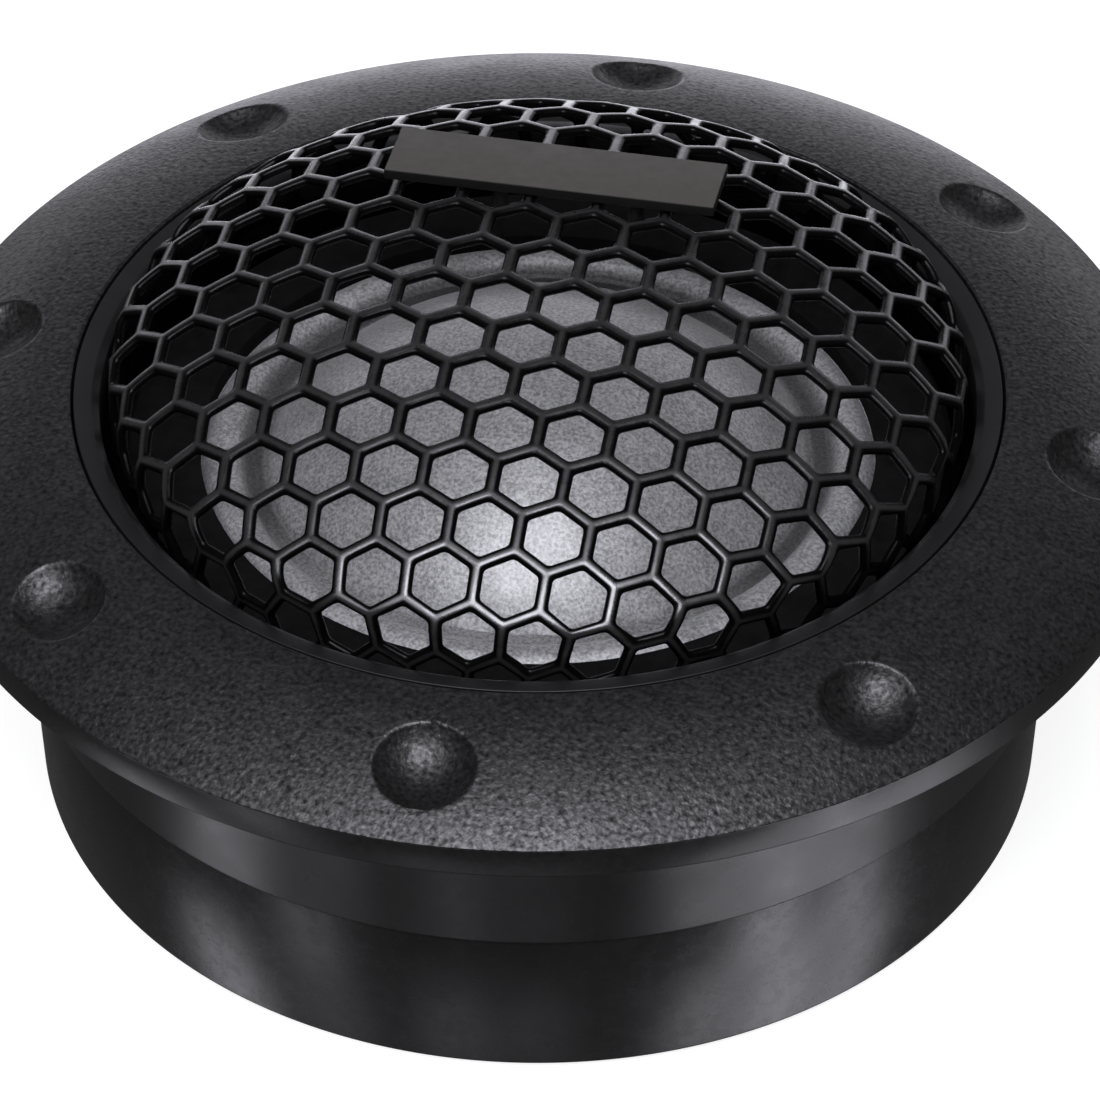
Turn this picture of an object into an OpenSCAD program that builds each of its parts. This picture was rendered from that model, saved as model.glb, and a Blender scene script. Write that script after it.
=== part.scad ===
// Flush-mount car tweeter: crowned flange, domed hexagon-mesh grille, soft dome diaphragm,
// neodymium motor and closed rear cup. All sizes in millimetres.
// Z = 0 is the underside of the flange, which sits on the panel; +Z points towards the listener.

/* [Flange] */
// Outside diameter of the flange
flange_d = 58; // [57:0.5:60]
// Height of the plain band around the flange's edge
edge_h = 1.55; // [1.2:0.05:1.7]
// Rise of the crowned face above that band
crown_h = 2.4; // [2.2:0.1:3]
// Number of dished recesses around the face
recess_count = 8; // [4:1:12]
// Diameter of the circle that the recesses stand on
recess_ring_d = 51.2; // [50.6:0.1:52]
// Mouth diameter of one recess
recess_d = 4.6; // [4:0.1:5]
// Depth of one recess
recess_depth = 1; // [0.7:0.1:1.3]

/* [Body] */
// Diameter of the skirt that passes through the panel
body_d = 48.4; // [48.2:0.1:49]
// Length of the skirt, from the flange to the seam
skirt_h = 8.55; // [8:0.05:9.5]
// Length of the rear cup, from the seam to the back
cup_h = 8.2; // [8:0.1:10]
// Wall thickness of the skirt and the cup
wall = 1.4; // [1.2:0.1:1.5]
// Diameter of the cable inlet in the rear wall
inlet_d = 4.2; // [4:0.1:4.6]

/* [Grille] */
// Diameter of the opening in the face
opening_d = 40.2; // [40:0.1:40.4]
// Height of the top of the grille above the panel
grille_top = 10.3; // [9:0.1:12]
// Height at which the grille's dome turns down into its wall
grille_shoulder = 4.9; // [4.6:0.1:5.5]
// Spacing of the hexagonal cells
cell_pitch = 3.175; // [3:0.025:3.5]
// Width of one strand of the mesh
strand_w = 0.66; // [0.4:0.02:0.8]
// Thickness of the mesh
mesh_t = 0.5; // [0.5:0.05:0.8]
// Angle of the mesh's rows against the nameplate
mesh_turn = 1.4; // [-5:0.1:5]
// Sideways place of the cell nearest the middle
mesh_x = 0.19; // [-1.5:0.01:1.5]
// Fore-and-aft place of the cell nearest the middle
mesh_y = 0.68; // [-1.5:0.01:1.5]
// Length of the blank nameplate
plate_l = 15.4; // [10:0.1:18]
// Width of the blank nameplate
plate_w = 4; // [3:0.1:5]
// Sideways place of the nameplate
plate_x = -0.6; // [-0.8:0.1:0.8]
// Distance of the nameplate from the middle
plate_y = 7.5; // [7.3:0.1:7.9]

/* [Diaphragm] */
// Diameter of the voice coil's former, inside
coil_d = 24.9; // [24.8:0.05:25]
// Rise of the dome
dome_h = 5.75; // [4.5:0.05:6]
// Outside diameter of the surround's roll
roll_d = 31; // [30.8:0.1:31.2]
// Travel of the diaphragm each way
travel = 0.4; // [0.2:0.05:0.4]

/* [Motor] */
// Diameter of the magnet
magnet_d = 22; // [20:0.5:22.5]
// Thickness of the magnet
magnet_h = 4; // [3:0.5:4]
// Thickness of the pole plate
pole_h = 2; // [1.6:0.1:2]
// Outside diameter of the yoke cup
yoke_d = 31.2; // [31:0.1:31.6]

/* [Fasteners] */
// Number of screws that hold the chassis in the faceplate
chassis_screw_count = 4; // [3:1:6]
// Number of screws that hold the rear cup
cup_screw_count = 3; // [3:1:3]

/* [Hidden] */
$fn = 96;

flange_r = flange_d / 2;
skirt_r = body_d / 2;
skirt_in_r = skirt_r - wall;
opening_r = opening_d / 2;
cup_r = skirt_r - 0.2;
back_z = -skirt_h - cup_h;
floor_z = back_z + 1.6;

// The crown is an arc whose top lies just outside the opening.
crown_x = 20.3;
crown_run = flange_r - crown_x;
crown_z = edge_h + crown_h;
crown_r = (crown_run * crown_run + crown_h * crown_h) / (2 * crown_h);
recess_ring_r = recess_ring_d / 2;
recess_tilt = asin((recess_ring_r - crown_x) / crown_r);
recess_r = recess_d / 2;
bowl_r = (recess_r * recess_r + recess_depth * recess_depth) / (2 * recess_depth);

// The bezel sits in a pocket of the face and clamps the grille's rim on a shelf.
bezel_r = opening_r + 0.85;
bezel_rim_r = opening_r + 1.18;
pocket_r = bezel_rim_r + 0.12;
ledge_z = 1.8;
rim_h = 0.45;
shelf_z = 0.05;
clamp_z = shelf_z + rim_h;
shelf_r = 19.75;
shelf_low = -1.6;

// The grille is a super-elliptic dome on a short straight wall.
grille_r = opening_r - 0.45;
dome_base_r = grille_r + 0.35;
dome_power = 2.6;
round_power = 0.73;
cell_r = (cell_pitch - strand_w) / sqrt(3);
cell_limit = grille_r - 2;
cell_lean = 0.06;
row_step = cell_pitch * sqrt(3) / 2;
cell_reach = ceil(grille_r / row_step);
mesh_facets = 42;
mesh_rings = 6;

// The diaphragm hangs from the surround, whose outer lip is glued under the carrier ring.
seat_z = -0.75;
former_r = coil_d / 2;
former_t = 0.15;
winding_t = 0.35;
lip_t = 0.25;
surround_in_r = former_r + former_t;
roll_mid_r = (roll_d / 2 + surround_in_r + 0.9) / 2;
roll_r = roll_d / 2 - roll_mid_r;
lip_r = roll_d / 2 + 0.7;
dome_base_z = seat_z + lip_t;
former_top = seat_z - 0.3;

// The motor hangs under the chassis.
chassis_top = shelf_low;
chassis_low = -3.2;
ring_in_r = roll_d / 2 + 0.1;
ring_r = 19.5;
ring_step_z = -0.2;
ring_rim_r = 18.9;
ring_top = 0.4;
pole_top = chassis_low;
pole_low = pole_top - pole_h;
magnet_low = pole_low - magnet_h;
yoke_low = magnet_low - 2.5;
gap_in_r = former_r - 0.3;
gap_out_r = former_r + former_t + winding_t + 0.35;
yoke_r = yoke_d / 2;
winding_h = pole_h + 2 * travel - 0.2;
former_low = pole_low - travel - 0.3;
collar_r = yoke_r + 1.6;
collar_low = -8;
chassis_r = skirt_in_r - 0.1;

// The terminals stand at the side of the motor that is nearest the cable inlet.
terminal_angles = [78, 102];
terminal_r = 19;
board_low = chassis_low - 0.8;
board_in_r = collar_r + 0.15;
inlet_y = 16.5;
rivet_r = 0.6;
rivet_head_r = 0.65;

chassis_screw_r = chassis_r - 1;
chassis_screw_turn = 45;
post_ring_r = 19.9;
post_r = 1.9;
post_turn = -90;
post_low = floor_z + 0.15;

function crown_at(r) = crown_z - crown_r + sqrt(crown_r * crown_r - pow(r - crown_x, 2));

function dome_at(r) = grille_shoulder
    + (grille_top - grille_shoulder) * pow(1 - pow(r / dome_base_r, dome_power), round_power);

module tube(outer, inner, low, high) {
    difference() {
        translate([0, 0, low]) cylinder(r = outer, h = high - low);
        translate([0, 0, low - 1]) cylinder(r = inner, h = high - low + 2);
    }
}

module around(count, radius, turn = 0) {
    for (i = [0 : count - 1]) rotate([0, 0, turn + i * 360 / count]) translate([radius, 0, 0]) children();
}

// ---- Faceplate -------------------------------------------------------------------------

module faceplate_section() {
    difference() {
        union() {
            intersection() {
                translate([crown_x, crown_z - crown_r]) circle(r = crown_r);
                translate([opening_r, 0]) square([flange_r - opening_r, crown_z]);
            }
            translate([shelf_r, shelf_low]) square([skirt_r - shelf_r, -shelf_low + 1]);
            translate([skirt_in_r, -skirt_h]) square([wall, skirt_h]);
        }
        translate([0, shelf_z]) square([bezel_r + 0.05, crown_z]);
        translate([0, ledge_z]) square([pocket_r, crown_z]);
    }
}

// A recess is a shallow spherical bowl, sunk at right angles to the crown.
module recess() {
    translate([0, 0, crown_at(recess_ring_r)]) rotate([0, recess_tilt, 0])
        translate([0, 0, bowl_r - recess_depth]) sphere(r = bowl_r);
}

module faceplate() {
    color([0.08, 0.08, 0.085]) difference() {
        rotate_extrude() faceplate_section();
        around(recess_count, recess_ring_r) recess();
        around(chassis_screw_count, chassis_screw_r, chassis_screw_turn)
            translate([0, 0, shelf_low - 1]) cylinder(r = 0.65, h = 3.6, $fn = 32);
    }
}

// ---- Grille and its bezel --------------------------------------------------------------

module grille_bezel() {
    color([0.1, 0.1, 0.105]) rotate_extrude() polygon([
        [opening_r, clamp_z],
        [bezel_r, clamp_z],
        [bezel_r, ledge_z],
        [bezel_rim_r, ledge_z],
        [bezel_rim_r, crown_z - 0.15],
        [opening_r + 0.35, crown_z - 0.3],
        [opening_r, crown_z - 0.6],
    ]);
}

module grille_shell() {
    top = [for (i = [0 : mesh_rings]) let (r = grille_r * sin(90 * i / mesh_rings)) [r, dome_at(r)]];
    under = [for (p = top) [p[0] * (1 - mesh_t / grille_r), p[1] - mesh_t]];
    rim_r = bezel_r - 0.05;
    rotate_extrude($fn = mesh_facets) polygon(concat(
        top,
        [[grille_r, clamp_z], [rim_r, clamp_z], [rim_r, shelf_z], [grille_r - mesh_t, shelf_z]],
        [for (i = [0 : mesh_rings]) under[mesh_rings - i]]
    ));
}

// One opening leans outwards as the dome's surface does.
module cell(x, y) {
    hull() for (end = [[-1, grille_shoulder - 3], [1, grille_top + 1]])
        translate([x * (1 + end[0] * cell_lean), y * (1 + end[0] * cell_lean), end[1]])
            rotate([0, 0, 90 + mesh_turn]) cylinder(r = cell_r, h = 0.1, $fn = 6);
}

module grille() {
    color([0.16, 0.16, 0.17]) difference() {
        grille_shell();
        for (j = [-cell_reach : cell_reach], i = [-cell_reach : cell_reach]) {
            u = (i + (j % 2 == 0 ? 0 : 0.5)) * cell_pitch;
            v = j * row_step;
            x = mesh_x + u * cos(mesh_turn) - v * sin(mesh_turn);
            y = mesh_y + u * sin(mesh_turn) + v * cos(mesh_turn);
            if (norm([x, y]) < cell_limit) cell(x, y);
        }
    }
}

// The blank plate lies on the mesh and is held by two pins pushed through its cells.
module nameplate() {
    plate_tilt = 6;
    plate_t = 0.5;
    pin_x = mesh_x - plate_x;
    pin_y = -1.2;
    pin_h = 1.4;
    seat = [plate_x, plate_y, dome_at(plate_y) + 0.1];
    color([0.32, 0.32, 0.32]) translate(seat) rotate([-plate_tilt, 0, 0]) {
        translate([-plate_l / 2, -plate_w / 2, 0]) cube([plate_l, plate_w, plate_t]);
        for (side = [-1, 1]) translate([pin_x + side * cell_pitch, pin_y, -pin_h])
            cylinder(r = 0.35, h = pin_h + 0.1, $fn = 32);
    }
}

// ---- Diaphragm assembly ----------------------------------------------------------------

// The carrier ring laps over the surround's outer lip, and slots under it let the leads out.
module diaphragm_ring() {
    slot_w = 1.4;
    slot_h = 0.7;
    color([0.07, 0.07, 0.07]) difference() {
        union() {
            tube(ring_r, ring_in_r, chassis_top, ring_step_z);
            tube(ring_rim_r, ring_in_r, ring_step_z - 0.1, ring_top);
        }
        translate([0, 0, chassis_top - 1]) cylinder(r = lip_r + 0.05, h = seat_z + lip_t - chassis_top + 1);
        for (a = terminal_angles) rotate([0, 0, a])
            translate([ring_in_r, -slot_w / 2, chassis_top - 0.1]) cube([ring_r, slot_w, slot_h + 0.1]);
    }
}

module dome() {
    rise = dome_h;
    base = former_r + former_t;
    outer = (base * base + rise * rise) / (2 * rise);
    shell = 0.3;
    color([0.62, 0.62, 0.63]) union() {
        intersection() {
            difference() {
                translate([0, 0, dome_base_z + rise - outer]) sphere(r = outer);
                translate([0, 0, dome_base_z + rise - outer]) sphere(r = outer - shell);
            }
            translate([0, 0, dome_base_z]) cylinder(r = base + 1, h = rise + 1);
        }
        tube(base, former_r - 0.25, former_top, dome_base_z + 0.05);
    }
}

module surround() {
    color([0.55, 0.55, 0.56]) rotate_extrude() {
        difference() {
            union() {
                translate([surround_in_r, seat_z]) square([roll_mid_r - surround_in_r, lip_t]);
                translate([roll_mid_r, seat_z]) square([lip_r - roll_mid_r, lip_t]);
                intersection() {
                    translate([roll_mid_r, seat_z]) circle(r = roll_r);
                    translate([0, seat_z]) square([lip_r, 5]);
                }
            }
            translate([roll_mid_r, seat_z]) circle(r = roll_r - lip_t);
        }
    }
}

module coil_former() {
    color([0.7, 0.68, 0.6]) tube(former_r + former_t, former_r, former_low, former_top);
}

module voice_coil() {
    middle = (pole_top + pole_low) / 2;
    inner = former_r + former_t;
    color([0.72, 0.4, 0.2])
        tube(inner + winding_t, inner, middle - winding_h / 2, middle + winding_h / 2);
}

// A braided lead runs from the former, through its slot under the ring, to its terminal.
module lead_wire(angle) {
    wire_r = 0.18;
    start_r = former_r + former_t + 0.05;
    run_z = chassis_top + 0.35;
    color([0.75, 0.5, 0.3]) rotate([0, 0, angle]) translate([start_r, 0, run_z]) rotate([0, 90, 0])
        cylinder(r = wire_r, h = terminal_r - rivet_head_r - start_r, $fn = 24);
}

// ---- Motor -----------------------------------------------------------------------------

module chassis() {
    color([0.09, 0.09, 0.09]) difference() {
        union() {
            tube(chassis_r, gap_out_r + 0.15, chassis_low, chassis_top);
            tube(collar_r, yoke_r, collar_low, chassis_low + 0.1);
            around(cup_screw_count, post_ring_r, post_turn)
                translate([0, 0, post_low]) cylinder(r = post_r, h = chassis_low - post_low + 0.1, $fn = 48);
        }
        translate([0, 0, collar_low - 1]) cylinder(r = yoke_r, h = chassis_low - collar_low + 1);
        around(cup_screw_count, post_ring_r, post_turn)
            translate([0, 0, post_low - 1]) cylinder(r = 0.75, h = 6.5, $fn = 32);
        around(chassis_screw_count, chassis_screw_r, chassis_screw_turn)
            translate([0, 0, chassis_low - 1]) cylinder(r = 0.85, h = 4, $fn = 32);
        for (a = terminal_angles) rotate([0, 0, a]) translate([terminal_r, 0, chassis_low - 1])
            cylinder(r = rivet_r + 0.02, h = 4, $fn = 32);
    }
}

module pole_plate() {
    color([0.6, 0.6, 0.62]) translate([0, 0, pole_low]) cylinder(r = gap_in_r, h = pole_h);
}

module magnet() {
    color([0.75, 0.75, 0.77]) translate([0, 0, magnet_low]) cylinder(r = magnet_d / 2, h = magnet_h);
}

module yoke_cup() {
    color([0.55, 0.55, 0.57]) difference() {
        translate([0, 0, yoke_low]) cylinder(r = yoke_r, h = chassis_low - yoke_low);
        translate([0, 0, magnet_low]) cylinder(r = gap_out_r, h = 20);
    }
}

module pole_damping_pad() {
    color([0.25, 0.25, 0.27]) translate([0, 0, pole_top]) cylinder(r = 9, h = 1.6);
}

// ---- Terminals -------------------------------------------------------------------------

module terminal_board() {
    half_angle = 27;
    color([0.45, 0.3, 0.15]) difference() {
        intersection() {
            tube(chassis_r - 0.2, board_in_r, board_low, chassis_low);
            translate([0, 0, board_low]) linear_extrude(1) polygon([
                [0, 0],
                30 * [sin(half_angle), cos(half_angle)],
                [0, 40],
                30 * [-sin(half_angle), cos(half_angle)],
            ]);
        }
        for (a = terminal_angles) rotate([0, 0, a]) translate([terminal_r, 0, board_low - 1])
            cylinder(r = rivet_r + 0.02, h = 4, $fn = 32);
    }
}

// A lug is an eyelet under the board with a blade bent down for the soldered cord.
module terminal(angle, blade_w) {
    blade_t = 0.5;
    blade_h = 4.5;
    eye_r = 1.25;
    color([0.8, 0.66, 0.3]) rotate([0, 0, angle]) difference() {
        union() {
            translate([terminal_r, 0, board_low - blade_t]) cylinder(r = eye_r, h = blade_t, $fn = 48);
            translate([terminal_r, -blade_w / 2, board_low - blade_t]) cube([2.4, blade_w, blade_t]);
            translate([terminal_r + 2.4 - blade_t, -blade_w / 2, board_low - blade_h])
                cube([blade_t, blade_w, blade_h]);
        }
        translate([terminal_r, 0, board_low - 1]) cylinder(r = rivet_r + 0.02, h = 4, $fn = 32);
        translate([terminal_r, 0, board_low - blade_h + 1.2]) rotate([0, 90, 0])
            cylinder(r = 0.45, h = 5, $fn = 32);
    }
}

module terminal_rivets() {
    shank_low = board_low - 0.5;
    color([0.7, 0.7, 0.68]) for (a = terminal_angles) rotate([0, 0, a]) translate([terminal_r, 0, 0]) {
        translate([0, 0, shank_low]) cylinder(r = rivet_r, h = chassis_top - shank_low, $fn = 32);
        translate([0, 0, chassis_top]) cylinder(r = rivet_head_r, h = 0.5, $fn = 32);
        translate([0, 0, shank_low - 0.35]) cylinder(r = 1, h = 0.35, $fn = 32);
    }
}

// ---- Rear cup, foam and fasteners ------------------------------------------------------

module rear_cup() {
    lip_r = skirt_in_r - 0.05;
    edge = 0.3;
    color([0.08, 0.08, 0.085]) difference() {
        union() {
            rotate_extrude() polygon([
                [0, back_z],
                [cup_r - 0.35 - edge, back_z],
                [cup_r - 0.35, back_z + edge],
                [cup_r, -skirt_h],
                [lip_r, -skirt_h],
                [lip_r, -skirt_h + 1.6],
                [lip_r - 0.9, -skirt_h + 1.6],
                [lip_r - 0.9, floor_z],
                [0, floor_z],
            ]);
        }
        around(cup_screw_count, post_ring_r, post_turn) translate([0, 0, back_z]) {
            translate([0, 0, -1]) cylinder(r = 0.95, h = 4, $fn = 32);
            translate([0, 0, -0.01]) cylinder(r1 = 1.7, r2 = 0.95, h = 0.81, $fn = 48);
        }
        translate([0, inlet_y, back_z - 1]) cylinder(r = inlet_d / 2 + 0.9, h = 4);
    }
}

module chamber_foam() {
    color([0.2, 0.2, 0.21]) translate([0, 0, floor_z]) difference() {
        cylinder(r = 12.8, h = 2.6);
        translate([0, 0, -1]) cylinder(r = 3, h = 5);
    }
}

// The rubber bush lines the cable inlet and grips the rear wall from inside.
module cable_grommet() {
    color([0.05, 0.05, 0.05]) translate([0, inlet_y, 0]) {
        difference() {
            union() {
                translate([0, 0, back_z + 0.2]) cylinder(r = inlet_d / 2 + 0.9, h = floor_z - back_z - 0.2);
                translate([0, 0, floor_z]) cylinder(r = inlet_d / 2 + 1.5, h = 1);
            }
            translate([0, 0, back_z - 1]) cylinder(r = inlet_d / 2, h = 6);
        }
    }
}

module chassis_screws() {
    head_r = 1;
    color([0.5, 0.5, 0.52]) around(chassis_screw_count, chassis_screw_r, chassis_screw_turn) {
        translate([0, 0, chassis_low - 0.9]) difference() {
            cylinder(r = head_r, h = 0.9, $fn = 48);
            for (turn = [0, 90]) rotate([0, 0, turn]) translate([-0.6, -0.13, -0.1]) cube([1.2, 0.26, 0.5]);
        }
        translate([0, 0, chassis_low]) cylinder(r = 0.65, h = 3.9, $fn = 32);
    }
}

module cup_screws() {
    color([0.12, 0.12, 0.12]) around(cup_screw_count, post_ring_r, post_turn) translate([0, 0, back_z]) {
        difference() {
            union() {
                translate([0, 0, 0.05]) cylinder(r1 = 1.55, r2 = 0.75, h = 0.8, $fn = 48);
                translate([0, 0, 0.85]) cylinder(r = 0.75, h = 5, $fn = 32);
            }
            for (turn = [0, 90]) rotate([0, 0, turn]) translate([-0.8, -0.15, 0]) cube([1.6, 0.3, 0.55]);
        }
    }
}

faceplate();
grille_bezel();
grille();
nameplate();
diaphragm_ring();
chassis();
dome();
surround();
coil_former();
voice_coil();
lead_wire(terminal_angles[0]);  // lead_wire_positive
lead_wire(terminal_angles[1]);  // lead_wire_negative
pole_plate();
magnet();
yoke_cup();
pole_damping_pad();
terminal_board();
terminal(terminal_angles[0], 2.8);  // terminal_positive
terminal(terminal_angles[1], 2);  // terminal_negative
terminal_rivets();
chassis_screws();
rear_cup();
chamber_foam();
cable_grommet();
cup_screws();
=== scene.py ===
"""Looks of a flush-mount car tweeter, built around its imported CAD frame.

Shapes are worked out in millimetres, in the frame's own axes: Z = 0 is the underside of the flange,
+Z points to the listener and +Y towards the nameplate. piece() turns them into metres.
"""

import math

import bmesh
import bpy
import numpy as np
from mathutils import Euler, Matrix, Vector


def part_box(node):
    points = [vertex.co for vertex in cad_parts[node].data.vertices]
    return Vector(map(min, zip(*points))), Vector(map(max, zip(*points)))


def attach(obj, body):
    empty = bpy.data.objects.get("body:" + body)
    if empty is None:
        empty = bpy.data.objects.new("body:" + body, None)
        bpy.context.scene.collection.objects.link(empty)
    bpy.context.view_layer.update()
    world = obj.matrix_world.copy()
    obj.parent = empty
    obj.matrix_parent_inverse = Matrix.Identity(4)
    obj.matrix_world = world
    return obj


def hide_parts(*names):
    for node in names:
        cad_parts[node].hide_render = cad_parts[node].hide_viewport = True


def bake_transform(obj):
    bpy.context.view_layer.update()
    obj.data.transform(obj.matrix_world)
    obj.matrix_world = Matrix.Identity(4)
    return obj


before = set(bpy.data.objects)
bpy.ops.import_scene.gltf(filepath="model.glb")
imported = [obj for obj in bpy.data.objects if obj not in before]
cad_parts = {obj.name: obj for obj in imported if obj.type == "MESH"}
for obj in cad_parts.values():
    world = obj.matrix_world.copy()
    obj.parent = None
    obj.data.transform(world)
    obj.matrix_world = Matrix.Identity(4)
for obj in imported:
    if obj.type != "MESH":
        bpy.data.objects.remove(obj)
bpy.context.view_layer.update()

MM = 0.001
GAP = 0.02  # millimetres between faces that would otherwise lie in one plane


def reach(node):
    """Outer radius, lowest and highest z of a round CAD node, in millimetres."""
    low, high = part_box(node)
    return high.x / MM, low.z / MM, high.z / MM


# ---- Sizes ------------------------------------------------------------------------------

FLANGE_R, SKIRT_LOW, CROWN_TOP = reach("faceplate")
EDGE_H = 1.55  # plain band around the flange
CROWN_X = 20.3  # radius at which the crown is highest
CROWN_H = CROWN_TOP - EDGE_H
CROWN_RUN = FLANGE_R - CROWN_X
CROWN_R = (CROWN_RUN**2 + CROWN_H**2) / (2 * CROWN_H)
RECESS_COUNT = 8
RECESS_RING_R = 25.6
RECESS_R = 2.3
RECESS_DEPTH = 1.0
RECESS_RIM = 0.05  # softness of a recess's rim
RECESS_SPREAD = math.radians(6.6)  # half the angle in which a recess and its rim lie
RECESSES_FROM_R, RECESSES_TO_R = 22.9, 28.2
SKIRT_R = 24.2
SKIRT_IN_R = 22.8
SHELF_R = 19.75
SHELF_LOW = -1.6
SHELF_Z = 0.05
POCKET_R = 21.4
LEDGE_Z = 1.8

BEZEL_RIM_R, CLAMP_Z, BEZEL_TOP = reach("grille_bezel")
OPENING_R = 20.1
BEZEL_R = 20.95

GRILLE_RIM_R, GRILLE_LOW, GRILLE_TOP = reach("grille")
GRILLE_R = 19.65  # outside of the mesh's wall
DOME_BASE_R = 20.0
DOME_SHOULDER = 4.9
DOME_POWER, ROUND_POWER = 2.6, 0.73
PITCH = 3.175
CELL_MARGIN = 0.6 * PITCH  # from the middle of an outermost cell to the mesh's edge
STRAND_W = 0.66
STRAND_T = 0.46
STRAND_POWER = 2.3  # 2 is an elliptic section, and more is squarer
SECTION_STEPS = 11  # points from the top of a strand's section to its underside
CORNER_R = 0.3  # softness of an opening's corners
PER_SIDE = 5  # points along each of an opening's six sides
AROUND = 6 * PER_SIDE
BORDER_Z = 2.1  # top of the plain border below the lowest cells
MESH_TURN = math.radians(1.4)
MESH_SHIFT = (0.19, 0.68)
MESH_DRAW = 0.013  # how much the mesh was stretched at its shoulder when it was formed
CREST = "crest"  # point attribute of the mesh: 1 along the middle of a strand's top
CREST_HALF = 0.2  # how far from there it falls to 0

PLATE_X, PLATE_Y = -0.6, 7.5
PLATE_TILT = math.radians(6)
PLATE_SIZE = (15.4, 4.0, 0.5)
PLATE_GAP = 0.1  # between the plate's underside and the mesh
PIN_R, PIN_H, PIN_Y = 0.35, 1.4, -1.2

DOME_R, COLLAR_LOW, DOME_TOP = reach("dome")
SURROUND_R, SEAT_Z, ROLL_TOP = reach("surround")
CLOTH_T = 0.25
DOME_SKIN = 0.3
COLLAR_T = 0.4
ROLL_R = ROLL_TOP - SEAT_Z
ROLL_MID_R = 14.5
DOME_BASE_Z = SEAT_Z + CLOTH_T
VALLEY_R = 13.1  # middle of the valley between the dome and the roll, where the cloth gets painted shade

FORMER_IN_R = 12.45
WINDING_IN_R = 12.6
WINDING_TURNS = 22
LEAD_R = 0.17
LEAD_Z = -1.25
LEAD_LIFT = 0.3  # keeps the leads off the chassis when the dome is at its lowest
LEAD_FROM_R, LEAD_TO_R = 12.65, 18.35
LEAD_ANGLES = {"lead_wire_positive": 78, "lead_wire_negative": 102}

POLE_R, POLE_LOW, POLE_TOP = reach("pole_plate")
MAGNET_R, MAGNET_LOW, _ = reach("magnet")
YOKE_R, YOKE_LOW, _ = reach("yoke_cup")
YOKE_IN_R = 13.3
PAD_R, _, PAD_TOP = reach("pole_damping_pad")

CUP_R, BACK_Z, CUP_TOP = reach("rear_cup")
CUP_FLOOR = BACK_Z + 1.6
CUP_DRAFT = 0.35  # how much narrower the cup is at its back
CUP_WALL = 0.9
CUP_SCREW_R, CUP_SCREW_ANGLES = 19.9, (-90, 30, 150)
SINK_R, SINK_DEPTH = 2.2, 0.8
SCREW_HOLE_R = 0.95
INLET_Y = 16.5
INLET_R = 2.1
BUSH_WALL = 0.9
FOAM_R, _, FOAM_TOP = reach("chamber_foam")
FOAM_HOLE_R = 3


# ---- Mesh tools -------------------------------------------------------------------------


def piece(name, shape, material, body=None, replaces=(), sharp=35):
    """A named object from (points in mm, faces). It rides on body, unless body is None."""
    points, faces = shape
    mesh = bpy.data.meshes.new(name)
    mesh.from_pydata((np.asarray(points, float) * MM).tolist(), [], faces)
    mesh.validate()
    mesh.shade_smooth()
    mesh.set_sharp_from_angle(angle=math.radians(sharp))
    mesh.materials.append(material)
    obj = bpy.data.objects.new(name, mesh)
    bpy.context.scene.collection.objects.link(obj)
    if body:
        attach(obj, body)
    if replaces:
        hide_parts(*replaces)
    return obj


def rounded(corners, steps=5):
    """A closed outline through (x, y, radius) corners, each rounded by an arc of that radius."""
    outline = []
    for i, (x, y, radius) in enumerate(corners):
        here = np.array((x, y), float)
        if radius == 0:
            outline.append(here)
            continue
        back = np.array(corners[i - 1][:2], float) - here
        ahead = np.array(corners[(i + 1) % len(corners)][:2], float) - here
        back, ahead = back / np.linalg.norm(back), ahead / np.linalg.norm(ahead)
        half = math.acos(np.clip(back @ ahead, -1, 1)) / 2
        centre = here + (back + ahead) / np.linalg.norm(back + ahead) * radius / math.sin(half)
        start = here + back * radius / math.tan(half) - centre
        end = here + ahead * radius / math.tan(half) - centre
        sweep = math.pi - 2 * half
        for t in np.linspace(0, 1, steps):
            mixed = math.sin((1 - t) * sweep) * start + math.sin(t * sweep) * end
            outline.append(centre + mixed / math.sin(sweep))
    return np.array(outline)


def lathe(outline, angles=240, closed=True):
    """An outline of (r, z) points turned about Z. An end that lies on the axis becomes one point."""
    if np.isscalar(angles):
        angles = np.linspace(0, 2 * math.pi, angles, endpoint=False)
    count = len(angles)
    points, rings = [], []
    for r, z in outline:
        if r < 1e-6:
            rings.append([len(points)] * count)
            points.append((0, 0, z))
        else:
            rings.append(list(range(len(points), len(points) + count)))
            points.extend(zip(r * np.cos(angles), r * np.sin(angles), np.full(count, z)))
    faces = []
    for i in range(len(rings) if closed else len(rings) - 1):
        lower, upper = rings[i], rings[(i + 1) % len(rings)]
        for a in range(count):
            b = (a + 1) % count
            loop = [lower[a], lower[b], upper[b], upper[a]]
            face = [v for k, v in enumerate(loop) if v != loop[k - 1]]
            if len(face) > 2:
                faces.append(face)
    return points, faces


def joined(*shapes):
    """Several shapes as one."""
    points, faces = [], []
    for more_points, more_faces in shapes:
        start = len(points)
        points.extend(more_points)
        faces.extend([v + start for v in face] for face in more_faces)
    return points, faces


def placed(shape, matrix):
    """A shape moved by a 4x4 matrix in millimetres."""
    m = np.array(matrix, float)
    return list(np.asarray(shape[0], float) @ m[:3, :3].T + m[:3, 3]), shape[1]


def cut(obj, *cutters):
    """Takes the cutter objects out of a piece and deletes them."""
    for cutter in cutters:
        step = obj.modifiers.new("cut", "BOOLEAN")
        step.operation, step.solver, step.object = "DIFFERENCE", "EXACT", cutter
    mesh = bpy.data.meshes.new_from_object(obj.evaluated_get(bpy.context.evaluated_depsgraph_get()))
    obj.modifiers.clear()
    obj.data = mesh
    mesh.shade_smooth()
    mesh.set_sharp_from_angle(angle=math.radians(35))
    for cutter in cutters:
        bpy.data.objects.remove(cutter)


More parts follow.
